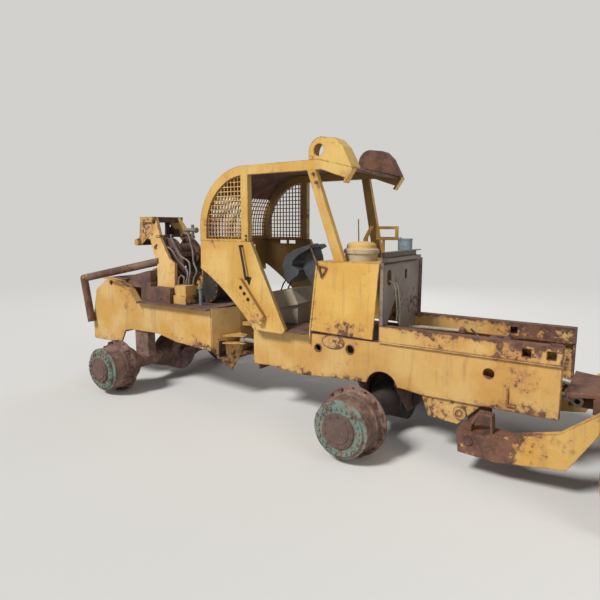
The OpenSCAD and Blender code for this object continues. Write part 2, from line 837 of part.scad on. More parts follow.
// Curved grab bars on the side panels, their lower ends on small brackets
module grab_handles() {
  y = -cab_half - 36;
  d = 22;
  rail = [[111, 1607], [145, 1452], [175, 1303]];
  color(dark) pair() {
    for (i = [0, 1])
      bar([rail[i][0], y, rail[i][1]], [rail[i + 1][0], y, rail[i + 1][1]], d);
    for (p = rail)
      translate([p[0], y, p[1]]) sphere(d = d + 1);
    for (i = [0, 2])
      rod_y(rail[i][0], y, -cab_half, rail[i][1], d);
    slab(-cab_half - 6, 6)
      polygon([[rail[2][0] - 34, rail[2][1] + 22], [rail[2][0] + 40, rail[2][1] + 16],
        [rail[2][0] + 14, rail[2][1] - 60]]);
  }
}

// Pierced foothold hung by its upper end on the side panel, a channel with round ends
module side_step() {
  l = 500;
  w = 104;
  lip = 12;
  color(yellow)
    translate([84, 0, 1250])
      rotate([0, 50.5, 0])
        difference() {
          slab(-cab_half - 40, 40)
            union() {
              circle(d = w);
              translate([0, -w / 2]) square([l - 90, w]);
              translate([l - 90, -w / 2 + 37]) circle(d = 74);
              polygon([[l - 100, -w / 2], [l - 90, -w / 2], [l - 54, -w / 2 + 30],
                [l - 60, -w / 2 + 58], [l - 100, w / 2]]);
            }
          slab(-cab_half - 40 + lip, 40)
            translate([0, -w / 2 + lip]) square([l - 100, w - 2 * lip]);
          for (u = [44, 112, 180])
            rod_y(u, -cab_half - 50, -cab_half, 4, 38);
        }
}

// Gear case under the floor
module gear_case() {
  color(dark) {
    span([560, -200, 500], [980, 200, 800]);
    translate([980, 0, 640]) rotate([0, 90, 0]) cylinder(h = 100, d = 280);
  }
}

// Side profile of an arm from its boxed rear end to the blade
module arm_profile() {
  polygon([[arm_x - 88, arm_z + 68], [arm_x - 72, arm_z - 98], [arm_x + 190, arm_z - 113],
    [blade_x - 154, arm_z - 53],
    [blade_x + 12, 506], [blade_x + 12, cross_z], [blade_x - 208, 460], [blade_x - 484, 384],
      [arm_x + 100, arm_z + 60]]);
}

// Arms with boxed rear ends that turn on the hanger pins, a bent bracket on each
module blade_arms() {
  box_end = arm_x + 290;
  rest_t = 10;
  color(yellow) pair()
    difference() {
      union() {
        slab(-arm_out, arm_t) arm_profile();
        intersection() {
          slab(-arm_out + arm_t - 1, arm_box_w - arm_t + 1) arm_profile();
          linear_extrude(height = 1000)
            polygon([[arm_x - 120, -arm_out + arm_t - 1], [arm_x - 120, -arm_out + arm_box_w],
              [arm_x + 110, -arm_out + arm_box_w], [box_end, -arm_out + arm_t - 1]]);
        }
        slab(-arm_out + 24, 90)
          difference() {
            polygon([[arm_x - 20, arm_z + 60], [arm_x - 10, arm_z + 112], [arm_x + 47, arm_z + 206],
              [arm_x + 146, arm_z + 203], [arm_x + 156, arm_z + 80], [arm_x + 156, arm_z + 62]]);
            polygon([[arm_x + 10, arm_z + 40], [arm_x + 10, arm_z + 106],
              [arm_x + 58, arm_z + 206 - rest_t],
              [arm_x + 146 - rest_t, arm_z + 203 - rest_t], [arm_x + 156 - rest_t, arm_z + 40]]);
          }
      }
      rod_y(arm_x, -arm_out - 1, 0, arm_z, arm_pin_d + 2 * fit);
    }
}

// Curved blade sheet with end plates, ribs, cutting edge and the cross plate behind it
module blade() {
  cz = blade_low + blade_h / 2;
  cx = blade_x + 40 + blade_r;
  back = blade_x + 160;
  edge_h = 110;
  rib_t = 20;
  rib_x = cross_x + 170;
  plate_z = cross_z - cross_plate_t;
  color(rust) {
    slab(-blade_half, 2 * blade_half)
      intersection() {
        difference() {
          translate([cx, cz]) circle(r = blade_r, $fn = 128);
          translate([cx, cz]) circle(r = blade_r - blade_t, $fn = 128);
        }
        translate([blade_x, blade_low]) square([blade_front - blade_x, blade_h]);
      }
    pair() slab(-blade_half, blade_t)
      intersection() {
        translate([cx, cz]) circle(r = blade_r - 2, $fn = 128);
        translate([blade_x, blade_low]) square([blade_front - blade_x, blade_h]);
      }
    span([blade_x + 90, -blade_half + blade_t - 1, blade_low],
         [blade_x + 112, blade_half - blade_t + 1, blade_low + edge_h]);
    difference() {
      union() {
        pair() slab(-arm_out, arm_t)
          polygon([[blade_x + 12, cross_z], [blade_x + 12, 506], [blade_x + 60, 480], [back, 480],
            [back, cross_z]]);
        translate([0, 0, plate_z])
          linear_extrude(height = cross_plate_t)
            polygon([[cross_x, -cross_half], [cross_x, cross_half], [cross_x + 190, cross_half - 70],
              [back, cross_half - 70], [back, 70 - cross_half], [cross_x + 190, 70 - cross_half]]);
        for (y = [[-cross_half, -lift_y - 46], [46 - lift_y, lift_y - 46], [lift_y + 46, cross_half]])
          span([cross_x, y[0], plate_z - 10], [cross_x + 20, y[1], cross_z - 1]);
        for (y = [70 - cross_half, -lift_y - 60, -lift_y + 40, lift_y - 60, lift_y + 40,
          cross_half - 70 - rib_t])
          span([y < -200 || y > 200 ? rib_x : lift_b[0] - 60, y, 500], [back, y + rib_t, plate_z + 1]);
      }
      slab(-blade_half, 2 * blade_half) translate([cx, cz]) circle(r = blade_r - 8, $fn = 128);
    }
  }
}

// Barrel of a cylinder from its eye at the origin along +x
module barrel(d, len, eye_t, pin_d) {
  neck = 64;
  difference() {
    union() {
      translate([neck, 0, 0]) rotate([0, 90, 0]) cylinder(h = len - neck, d = d);
      rotate([0, 90, 0]) cylinder(h = neck + 4, d = eye_t - 2);
      rotate([90, 0, 0]) cylinder(h = eye_t, d = 84, center = true);
      translate([len - 24, 0, 0]) rotate([0, 90, 0]) cylinder(h = 24, d = d + 12);
    }
    rotate([90, 0, 0]) cylinder(h = 200, d = pin_d + 2 * fit, center = true);
    translate([neck + 18, 0, 0]) rotate([0, 90, 0]) cylinder(h = len, d = d - 16);
  }
}

// Rod with its piston and its eye at distance len from the barrel's eye
module ram(d, bore, from, len, eye_d, eye_t) {
  difference() {
    union() {
      translate([from, 0, 0]) rotate([0, 90, 0]) cylinder(h = len - from, d = d);
      translate([from, 0, 0]) rotate([0, 90, 0]) cylinder(h = 30, d = bore);
      translate([len, 0, 0]) rotate([90, 0, 0]) cylinder(h = eye_t, d = eye_d, center = true);
    }
    translate([len, 0, 0]) rotate([90, 0, 0]) cylinder(h = 200, d = eye_d * 0.45, center = true);
  }
}

lift_v = lift_b - lift_a;
lift_len = norm(lift_v);
lift_tilt = -atan2(lift_v[1], lift_v[0]);
module lift_place(s) {
  translate([lift_a[0], s * lift_y, lift_a[1]]) rotate([0, lift_tilt, 0]) children();
}
module lift_barrel_left() { color(yellow) lift_place(1) barrel(lift_d, 560, 54, lift_pin_d); }
module lift_barrel_right() { color(yellow) lift_place(-1) barrel(lift_d, 560, 54, lift_pin_d); }
module lift_rod_left() { color(dark) lift_place(1) ram(lift_rod_d, lift_d - 17, 440, lift_len, 84, 56); }
module lift_rod_right() { color(dark) lift_place(-1) ram(lift_rod_d, lift_d - 17, 440, lift_len, 84, 56); }

steer_v = steer_b - steer_a;
steer_len = norm(steer_v);
steer_turn = atan2(steer_v[1], steer_v[0]);
module steer_place(s) {
  mirror([0, s < 0 ? 1 : 0, 0])
    translate([steer_a[0], steer_a[1], steer_z])
      rotate([0, 0, steer_turn])
        rotate([90, 0, 0])
          children();
}
module steer_barrel_left() { color(rust) steer_place(1) barrel(steer_d, 545, 50, steer_pin_d); }
module steer_barrel_right() { color(rust) steer_place(-1) barrel(steer_d, 545, 50, steer_pin_d); }
module steer_rod_left() { color(dark) steer_place(1) ram(steer_rod_d, steer_d - 17, 330, steer_len, 80,
  44); }
module steer_rod_right() { color(dark) steer_place(-1) ram(steer_rod_d, steer_d - 17, 330, steer_len,
  80, 44); }

// Hub turned from one profile, its flange pierced for the studs
module hub_shape() {
  bore_r = spindle_d / 2 + fit;
  inner_y = 690;
  root_r = (stud_pcd - stud_hole_d) / 2 - 3;
  face_y = hub_out - 22;
  drum_y = hub_out - 74;
  color(hub_red)
    difference() {
      rotate_extrude($fn = 96)
        polygon([[bore_r, inner_y], [200, inner_y], [204, flange_y - flange_t],
          [rim_flange_d / 2, flange_y - flange_t],
          [rim_flange_d / 2, flange_y], [root_r, flange_y], [root_r - 6, flange_y + 14],
          [root_r - 10, flange_y + 60], [root_r - 22, flange_y + 66], [root_r - 30, drum_y],
            [root_r - 22, drum_y + 4],
          [root_r - 22, drum_y + 26], [face_d / 2, drum_y + 32], [face_d / 2 - 4, face_y],
          [cover_d / 2, face_y], [cover_d / 2 - 6, hub_out - 6], [cover_d / 2 - 40, hub_out - 6],
          [cover_d / 2 - 44, hub_out], [0, hub_out], [0, flange_y + 91], [bore_r, flange_y + 91]]);
      for (i = [0 : stud_n - 1])
        rotate([0, 0, i * 360 / stud_n])
          translate([stud_pcd / 2, 0, flange_y - 60])
            cylinder(h = 80, d = stud_hole_d);
    }
}
module hub_at(x, s) {
  translate([x, 0, axle_z]) rotate([-90 * s, 0, 0]) hub_shape();
}
module hub_front_left() { hub_at(front_base, 1); }
module hub_front_right() { hub_at(front_base, -1); }
module hub_rear_left() { hub_at(-rear_base, 1); }
module hub_rear_right() { hub_at(-rear_base, -1); }

// Outline of a rear side plate, rising to a rounded ear at the back, moved in by t along its tail
module rear_outline(t) {
  ear_r = 110;
  axle_x = -rear_base;
  polygon([[-rf_front - 24, 524], [-rf_front - 24, deck_z - t], [axle_x + 43 - t, deck_z - t],
    [axle_x - 79 - t / 2, deck_z + 146 - t], [axle_x - 250, ear_top - 32 - t],
      [-ear_x + 60, ear_top - 10 - t],
    [-ear_x - 60, ear_top - 20 - t], [-rf_rear + 85 + t, ear_top - 171 - t / 2],
    [-rf_rear + t, 700], [-rf_rear + t, 430], [axle_x - 350, 430], [axle_x - 260, 590], [axle_x - 150, 612],
    [axle_x + 300, 618], [-868, 560]]);
  translate([-ear_x, ear_top - ear_r]) circle(r = ear_r - t);
}

// Rear side plates with their ears and the wide flange down the slope in front of each ear
module rear_sides() {
  flange_x = -rear_base + 42;
  color(yellow)
    pair()
      difference() {
        union() {
          slab(-rf_half, rf_t) rear_outline(0);
          slab(-rf_half - deck_out, deck_out + 1)
            difference() {
              rear_outline(0);
              rear_outline(14);
              translate([flange_x, 0]) square([1500, 1500]);
              translate([-3000, 0]) square([3000 - ear_x - 40, 1500]);
              translate([-3000, 0]) square([3000, 900]);
            }
        }
        rod_y(-ear_x, -rf_half - deck_out - 1, -rf_half + rf_t + 1, ear_top - 68, ear_hole_d);
      }
}

// Box nose of the rear frame: slanted plates down to a point, lamp frames, hinge lugs and steering lugs
module rear_nose() {
  plate_t = 24;
  mouth_y = 200;
  mouth_x = 205;
  run = norm([rf_front - mouth_x, rf_half - mouth_y]);
  turn = atan2(rf_half - mouth_y, rf_front - mouth_x);
  top = deck_z + deck_t;
  lug_t = 16;
  tip = [214, 295];
  lamp = [46, 448, 122, 196];
  rim = 14;
  color(yellow) difference() {
    union() {
      pair() {
        translate([-rf_front, -rf_half, 0])
          rotate([0, 0, turn])
            slab(0, plate_t)
              difference() {
                polygon([[-4, 524], [-4, top], [run - 3, top], [run - 3, hinge_low - 30], tip]);
                translate([lamp[0] + rim, lamp[1] + rim]) square([lamp[2] - 2 * rim, lamp[3] - 2 * rim]);
              }
        translate([-rf_front, -rf_half, 0])
          rotate([0, 0, turn])
            slab(-16, 17)
              difference() {
                translate([lamp[0], lamp[1]]) square([lamp[2], lamp[3]]);
                translate([lamp[0] + rim, lamp[1] + rim]) square([lamp[2] - 2 * rim, lamp[3] - 2 * rim]);
              }
        span([-mouth_x - plate_t, -mouth_y - 6, hinge_low - 50], [-mouth_x, 1, top]);
        for (z = [steer_z - 30 - lug_t, steer_z + 30])
          translate([0, 0, z])
            linear_extrude(height = lug_t)
              union() {
                translate([steer_b[0], -steer_b[1]]) circle(d = 90);
                polygon([[-270, -420], [-225, -mouth_y], [-60, -256], [-100, -325]]);
              }
      }
      for (z = [hinge_low, hinge_up])
        translate([0, 0, z - hinge_lug_t / 2])
          linear_extrude(height = hinge_lug_t)
            union() {
              circle(r = 80);
              polygon([[0, -80], [0, 80], [-mouth_x - 20, 190], [-mouth_x - 20, -190]]);
            }
    }
    for (z = [hinge_low, hinge_up])
      translate([0, 0, z - 60]) cylinder(h = 120, d = hinge_pin_d + 2 * fit);
    pair() translate([steer_b[0], -steer_b[1], steer_z - 100]) cylinder(h = 200, d = steer_pin_d);
  }
}

// Deck and floor plates of the rear frame, with the stepped blocks round the arch feet
module rear_deck() {
  back = -rear_base + 43;
  top = deck_z + deck_t;
  block_in = 365;
  color(rust) {
    span([back, -rf_half - deck_out, deck_z], [-rf_front - 24, rf_half + deck_out, top]);
    span([-1100, -rf_half + rf_t, 624], [-rf_front - 24, rf_half - rf_t, 640]);
    pair() {
      span([-arch_x - 440, -rf_half + 10, top], [-arch_x + 30, -block_in, foot_z]);
      span([-arch_x - 670, -rf_half + rf_t, foot_z - 20], [-arch_x - 439, -block_in, foot_z + 44]);
      span([-arch_x - 440, -rf_half + rf_t, foot_z - 1], [-arch_x - 285, -block_in, foot_z + 44]);
      slab(-rf_half + rf_t + 26, 90)
        polygon([[-arch_x - 670, foot_z + 43], [-arch_x - 670, foot_z + 96], [-arch_x - 350, foot_z + 172],
          [-arch_x - 320, foot_z + 172], [-arch_x - 320, foot_z + 43]]);
    }
  }
}

// One slanted leg of the arch, cut level at its foot
module arch_leg() {
  difference() {
    translate([0, -arch_foot, foot_z])
      rotate([-arch_tilt, 0, 0])
        slab(0, arch_leg_t)
          polygon([for (p = leg_rim) [-arch_x - p[0], p[1] * leg_len]]);
    span([-arch_x - 500, -arch_foot - 60, deck_z - 200], [-arch_x + 100, -arch_foot + 100, foot_z]);
  }
}

// Slanted legs of the logging arch, each with a round hole
module arch() {
  color(yellow)
    pair()
      difference() {
        arch_leg();
        rod_y(-arch_x - 408, -arch_foot, 0, foot_z + 0.553 * (arch_top - foot_z), 62);
      }
}

// Head of the arch: top beam, cross bar, and the fairlead behind them with its rollers
module fairlead() {
  bar_z = arch_top - 235;
  beam_x = arch_x + 507;
  head_x = arch_x + 730;
  cheek_y = 184;
  cheek_t = 16;
  roll_x = arch_x + 800;
  roll_z = bar_z - 62;
  color(rust) {
    difference() {
      union() {
        span([-head_x, -230, arch_top - 66], [-beam_x, 230, arch_top - 2]);
        span([-arch_x - 430, -260, bar_z], [-arch_x - 370, 260, bar_z + 26]);
        span([-head_x, -cheek_y - 1, bar_z], [-arch_x - 600, cheek_y + 1, bar_z + 14]);
        pair() difference() {
          slab(-cheek_y - cheek_t, cheek_t)
            polygon([[-arch_x - 520, arch_top - 60], [-head_x - 40, arch_top - 60], [-head_x - 60, bar_z],
              [-roll_x - 46, roll_z + 30], [-roll_x - 30, roll_z - 40], [-roll_x + 36, roll_z - 36],
              [-arch_x - 640, bar_z - 6], [-arch_x - 540, bar_z + 6]]);
          for (p = [[-arch_x - 690, arch_top - 104], [-arch_x - 712, arch_top - 168]])
            rod_y(p[0], -cheek_y - cheek_t - 1, -cheek_y + 1, p[1], 34);
        }
      }
      pair() arch_leg();
    }
    rod_y(-roll_x, -cheek_y - cheek_t - 40, cheek_y + cheek_t + 40, roll_z, roller_d);
    pair()
      translate([-head_x + 34, -cheek_y + 36, bar_z + 13])
        cylinder(h = arch_top - 65 - bar_z - 13, d = 56);
  }
}

// Case under the winch drum with the two side stands that carry its shaft, and the bar in front of it
module winch_case() {
  stand_t = 20;
  stand_y = drum_w / 2 + 20;
  base_top = drum_z - drum_flange_d / 2 - 60;
  top = deck_z + deck_t;
  color(rust)
    difference() {
      union() {
        pair() slab(-stand_y - stand_t, stand_t) {
          translate([-drum_x, drum_z]) circle(d = shaft_d + 80);
          polygon([[-drum_x - 150, top], [-drum_x + 280, top], [-drum_x + 230, drum_z - 60],
            [-drum_x + 222, drum_z + 6], [-drum_x + 180, drum_z + 6], [-drum_x + 60, drum_z + 30],
            [-drum_x - 60, drum_z + 40]]);
        }
        span([-drum_x - 140, -stand_y - 1, top], [-drum_x + 270, stand_y + 1, base_top]);
        span([-drum_x + 182, -stand_y - 1, drum_z - 36], [-drum_x + 222, stand_y + 1, drum_z + 6]);
      }
      rod_y(-drum_x, -drum_w / 2 - 200, drum_w / 2 + 200, drum_z, shaft_d);
    }
}

// Drum with flanges, on its shaft
module winch_drum() {
  end_t = 18;
  color(rust) {
    rod_y(-drum_x, -drum_w / 2, drum_w / 2, drum_z, drum_d);
    rod_y(-drum_x, -drum_w / 2 - 40, drum_w / 2 + 40, drum_z, shaft_d - 2 * fit);
    for (y = [-drum_w / 2, drum_w / 2 - end_t])
      rod_y(-drum_x, y, y + end_t, drum_z, drum_flange_d);
  }
}

// Gear case with its bolted flange, and the boxed valve block, on the rear deck
module deck_gear() {
  top = deck_z + deck_t;
  gear_x = 675;
  gear_z = top + gear_d / 2 + 12;
  flange_d = gear_d + 24;
  color(yellow) {
    rod_y(-gear_x, -176, 176, gear_z, gear_d);
    for (y = [-200, 176])
      rod_y(-gear_x, y, y + 24, gear_z, flange_d);
    span([-gear_x - 60, -150, top], [-gear_x + 60, 150, top + 60]);
    span([-arch_x + 32, -452, top], [-740, -280, top + 90]);
    span([-arch_x + 34, -430, top + 89], [-762, -276, foot_z + 30]);
  }
}

// Point at share t of the way from point i to the next on a smooth line
function bend(p, i, t) =
  let (a = p[max(i - 1, 0)], b = p[i], c = p[i + 1], d = p[min(i + 2, len(p) - 1)])
  0.5 * (2 * b + (c - a) * t + (2 * a - 5 * b + 4 * c - d) * t * t + (3 * b - a - 3 * c + d) * t * t * t);

// Round tube swept along a smooth line through the points
module tube(p, d) {
  sides = 8;
  steps = 4;
  line = concat([for (i = [0 : len(p) - 2], k = [0 : steps - 1]) bend(p, i, k / steps)], [p[len(p) - 1]]);
  last = len(line) - 1;
  rings = [for (i = [0 : last])
    let (v = line[min(i + 1, last)] - line[max(i - 1, 0)], side = cross([0, 1, 0],
      v), u = side / norm(side),
         w = cross(v, u) / norm(v))
    for (k = [0 : sides - 1])
      line[i] + d / 2 * (cos(k * 360 / sides) * u + sin(k * 360 / sides) * w)];
  polyhedron(rings, concat(
    [[for (k = [0 : sides - 1]) k]],
    [for (i = [0 : last - 1], k = [0 : sides - 1]) let (m = (k + 1) % sides)
      [i * sides + k, (i + 1) * sides + k, (i + 1) * sides + m, i * sides + m]],
    [[for (k = [sides - 1 : -1 : 0]) last * sides + k]]));
}

// Hoses held from the arch's cross bar to the valve block
module arch_hoses() {
  color(grey)
    for (p = hose_list)
      tube(p, hose_d);
}

// Rear axle with the pads that bolt it to the side plates
module rear_axle() {
  color(hub_red) {
    translate([-rear_base, 0, axle_z]) axle_body();
    pair() span([-rear_base - 110, -rf_half + rf_t, axle_z + 40],
      [-rear_base + 110, -rf_half + 120, axle_z + 450]);
  }
}

// Plate that takes the butts of the logs, wrapped over the tail between the ears
module butt_plate() {
  color(rust)
    slab(-rf_half + rf_t, 2 * (rf_half - rf_t))
      difference() {
        rear_outline(0);
        rear_outline(butt_t);
        translate([-rear_base - 300, 0]) square([3000, 1500]);
      }
}

// Bent round guard bars from the arch legs to the rear corners
module guard_bars() {
  y = rf_half + bar_d / 2 + fit;
  corner = [-bar_rear + bar_d / 2 + fit, -y, 1165];
  start = [-arch_x - 330, -arch_foot + 100, foot_z + 268];
  color(rust) pair()
    difference() {
      union() {
        bar(start, corner, bar_d);
        translate(corner) sphere(d = bar_d + 2 * fit);
        bar(corner, [-bar_rear + 150, -y, 640], bar_d);
      }
      arch_leg();
      span([-arch_x - 600, -arch_foot + 94, foot_z], [-arch_x + 100, 0, arch_top]);
    }
}

place() frame_sides();
place() bulkhead();
place() frame_cross();
place() hinge_fork();
place() hangers();
place() front_axle();
place() axle_cradle();
place() cab_floor();
place() cab_side_panels();
place() cab_rear_panel();
place() cab_frame();
place() front_pillars();
place() roof();
place() quarter_screens();
place() rear_screen();
place() lamp_hoods();
place() cowl();
place() firewall();
place() cowl_bowl();
place() dash_console();
place() control_box();
place() grab_handles();
place() side_step();
place() gear_case();
place() blade_arms();
place() blade();
place() lift_barrel_left();
place() lift_barrel_right();
place() lift_rod_left();
place() lift_rod_right();
place() steer_barrel_left();
place() steer_barrel_right();
place() steer_rod_left();
place() steer_rod_right();
place() hub_front_left();
place() hub_front_right();
place() hub_rear_left();
place() hub_rear_right();
place() rear_sides();
place() rear_nose();
place() rear_deck();
place() arch();
place() fairlead();
place() winch_case();
place() deck_gear();
place() arch_hoses();
place() winch_drum();
place() rear_axle();
place() butt_plate();
place() guard_bars();
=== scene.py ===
"""Dresses a derelict log skidder: weathered paint and rust, fasteners, wires, small fittings, plain studio."""
import math

import bmesh
import bpy
from mathutils import Matrix, Vector


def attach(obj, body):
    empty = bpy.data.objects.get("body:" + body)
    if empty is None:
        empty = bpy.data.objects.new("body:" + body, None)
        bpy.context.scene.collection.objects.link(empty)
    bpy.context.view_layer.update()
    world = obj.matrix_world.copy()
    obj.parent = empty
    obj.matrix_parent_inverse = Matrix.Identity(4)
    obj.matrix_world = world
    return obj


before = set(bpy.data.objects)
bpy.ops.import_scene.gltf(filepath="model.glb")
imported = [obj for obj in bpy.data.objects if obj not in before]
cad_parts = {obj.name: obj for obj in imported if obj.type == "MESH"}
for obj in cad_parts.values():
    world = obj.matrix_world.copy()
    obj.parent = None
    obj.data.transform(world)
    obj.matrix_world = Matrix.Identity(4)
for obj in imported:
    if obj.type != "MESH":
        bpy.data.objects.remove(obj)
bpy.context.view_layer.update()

MM = 0.001
SHIFT = -0.397           # the articulation pin's place along the row's x axis
# In millimetres, along x from the pin, along y from the machine's middle, and up from the ground
AXLE_X = 1450            # either axle
AXLE_Z = 280
FACE_Y = 1038            # face of a hub's rim
COVER_Y = 1054           # face of its end cover
STUD_Y = 774             # inner end of the wheel studs
RIM_BOLTS = 173          # radius of the circle of bolts on the rim's face
COVER_BOLTS = 114        # of those on the end cover
WHEEL_STUDS = 264        # and of the wheel studs
LOST_STUDS = (3, 4, 11)  # counted round from the front
GEAR = (-675, 1126)      # centre of the gear case on the rear deck: x, z
GEAR_Y = 200             # its faces
SIDE_Y = -430            # outer face of the front frame's near side plate
POST_BOLT_Y = -526       # middle of the bolt heads on the cab's near posts
FORWARD, LEFT, UP = (1, 0, 0), (0, 1, 0), (0, 0, 1)


# Materials

MATH = "ShaderNodeMath"
MIX = "ShaderNodeMix"
NOISE = "ShaderNodeTexNoise"
RANGE = "ShaderNodeMapRange"
SPLIT = "ShaderNodeSeparateXYZ"
VECTOR = "ShaderNodeVectorMath"
SMOOTH = "SMOOTHSTEP"
# Sockets that go by number: a Mix node's two colours and its colour output, and a Map Range node's ranges
A, B, BLEND = 6, 7, 2
LOW, HIGH, OUT_LOW, OUT_HIGH = 1, 2, 3, 4


def rgb(code):
    """A colour given as sRGB hex, as linear values with alpha."""
    parts = [int(code[i:i + 2], 16) / 255 for i in (0, 2, 4)]
    return [c / 12.92 if c <= 0.04045 else ((c + 0.055) / 1.055) ** 2.4 for c in parts] + [1.0]


def add(tree, kind, links=None, output=0, **settings):
    """Adds a node with its settings, its inputs linked or set, and gives back one of its outputs."""
    node = tree.nodes.new(kind)
    for name, value in settings.items():
        setattr(node, name, value)
    for key, value in (links or {}).items():
        if isinstance(value, bpy.types.NodeSocket):
            tree.links.new(value, node.inputs[key])
        else:
            node.inputs[key].default_value = value
    return node.outputs[output]


def per_metre(millimetres):
    """Noise scale whose features are about that size."""
    return 1000 / millimetres


def new_material(name):
    """A material with its node tree and its shader."""
    material = bpy.data.materials.new(name)
    material.use_nodes = True
    tree = material.node_tree
    return material, tree, tree.nodes["Principled BSDF"]


def surface(tree, shader, colour, rough, height, depth_mm):
    """Joins colour, roughness and relief to the shader, with edges that look rounded by 3 mm."""
    rounded = add(tree, "ShaderNodeBevel", {"Radius": 3 * MM}, samples=4)
    relief = add(tree, "ShaderNodeBump",
                 {"Height": height, "Distance": depth_mm * MM, "Strength": 0.8, "Normal": rounded})
    tree.links.new(colour, shader.inputs["Base Color"])
    tree.links.new(rough, shader.inputs["Roughness"])
    tree.links.new(relief, shader.inputs["Normal"])


def rust_tones(tree, place, dark, mid, light):
    """Rust in three tones: broad mottling with orange bloom in its grain."""
    broad = add(tree, NOISE, {"Vector": place, "Scale": per_metre(140), "Detail": 6, "Roughness": 0.65})
    fine = add(tree, NOISE, {"Vector": place, "Scale": per_metre(22), "Detail": 5, "Roughness": 0.7})
    broad = add(tree, RANGE, {0: broad, LOW: 0.38, HIGH: 0.62}, interpolation_type=SMOOTH)
    fine = add(tree, RANGE, {0: fine, LOW: 0.52, HIGH: 0.76}, interpolation_type=SMOOTH)
    base = add(tree, MIX, {0: broad, A: rgb(dark), B: rgb(mid)}, BLEND, data_type="RGBA")
    return add(tree, MIX, {0: fine, A: base, B: rgb(light)}, BLEND, data_type="RGBA")


def aged_paint(tree, place, normal, height, fresh, faded, stain, below, inner_shade):
    """Paint before it chips: bleached in broad patches, run down by rust, speckled with grime, and darkened
    with painted shade on faces that look towards a room's middle.
    """
    tone = add(tree, NOISE, {"Vector": place, "Scale": per_metre(380), "Detail": 4, "Roughness": 0.55})
    tone = add(tree, RANGE, {0: tone, LOW: 0.36, HIGH: 0.64}, interpolation_type=SMOOTH)
    paint = add(tree, MIX, {0: tone, A: rgb(fresh), B: rgb(faded)}, BLEND, data_type="RGBA")
    if below:
        share = add(tree, RANGE, {0: height, LOW: below[0], HIGH: below[0] + below[1]})
        paint = add(tree, MIX, {0: share, A: rgb(below[2]), B: paint}, BLEND, data_type="RGBA")

    streaked = add(tree, "ShaderNodeMapping", {"Vector": place, "Scale": (1.0, 1.0, 0.10)})
    runs = add(tree, NOISE, {"Vector": streaked, "Scale": per_metre(48), "Detail": 6, "Roughness": 0.65})
    runs = add(tree, RANGE, {0: runs, LOW: 0.50, HIGH: 0.80, OUT_HIGH: 0.60}, interpolation_type=SMOOTH)
    paint = add(tree, MIX, {0: runs, A: paint, B: rgb(stain)}, BLEND, data_type="RGBA")
    dirt = add(tree, NOISE, {"Vector": place, "Scale": per_metre(11), "Detail": 4, "Roughness": 0.7})
    dirt = add(tree, RANGE, {0: dirt, LOW: 0.48, HIGH: 0.78, OUT_HIGH: 0.30}, interpolation_type=SMOOTH)
    paint = add(tree, MIX, {0: dirt, A: paint, B: rgb("7E6238")}, BLEND, data_type="RGBA")
    # Painted shade: faces that look towards the middle are darkened in patches, standing in for the shade
    # inside a room
    if inner_shade:
        middle, shade_colour, share = inner_shade
        away = add(tree, VECTOR, {0: place, 1: middle}, operation="SUBTRACT")
        facing = add(tree, VECTOR, {0: away, 1: normal}, "Value", operation="DOT_PRODUCT")
        inside = add(tree, RANGE, {0: facing, LOW: -0.02, HIGH: -0.12, OUT_HIGH: share})
        patchy = add(tree, RANGE, {0: tone, OUT_LOW: 0.75, OUT_HIGH: 1.0})
        painted_shade = add(tree, MATH, {0: inside, 1: patchy}, operation="MULTIPLY")
        paint = add(tree, MIX, {0: painted_shade, A: paint, B: rgb(shade_colour)}, BLEND, data_type="RGBA")
    return paint


def bareness(tree, place, normal, measured, zones):
    """How near the metal is to being bare: noise that crowds in patches, more at edges and in the zones."""
    chips = add(tree, NOISE, {"Vector": place, "Scale": per_metre(52), "Detail": 8, "Roughness": 0.72})
    crowd = add(tree, NOISE, {"Vector": place, "Scale": per_metre(460), "Detail": 3, "Roughness": 0.5})
    chips = add(tree, MATH, {0: chips, 1: 0.54}, operation="MULTIPLY")
    bare = add(tree, MATH, {0: crowd, 1: 0.46, 2: chips}, operation="MULTIPLY_ADD")
    rounded = add(tree, "ShaderNodeBevel", {"Radius": 15 * MM}, samples=4)
    lean = add(tree, VECTOR, {0: rounded, 1: normal}, "Value", operation="DOT_PRODUCT")
    edge = add(tree, RANGE, {0: lean, LOW: 1.0, HIGH: 0.75, OUT_HIGH: 0.145})
    bare = add(tree, MATH, {0: bare, 1: edge}, operation="ADD")
    for axis, start, full, extra in zones:
        zone = add(tree, RANGE, {0: measured[axis], LOW: start, HIGH: full}, interpolation_type=SMOOTH)
        bare = add(tree, MATH, {0: zone, 1: extra, 2: bare}, operation="MULTIPLY_ADD")
    return bare


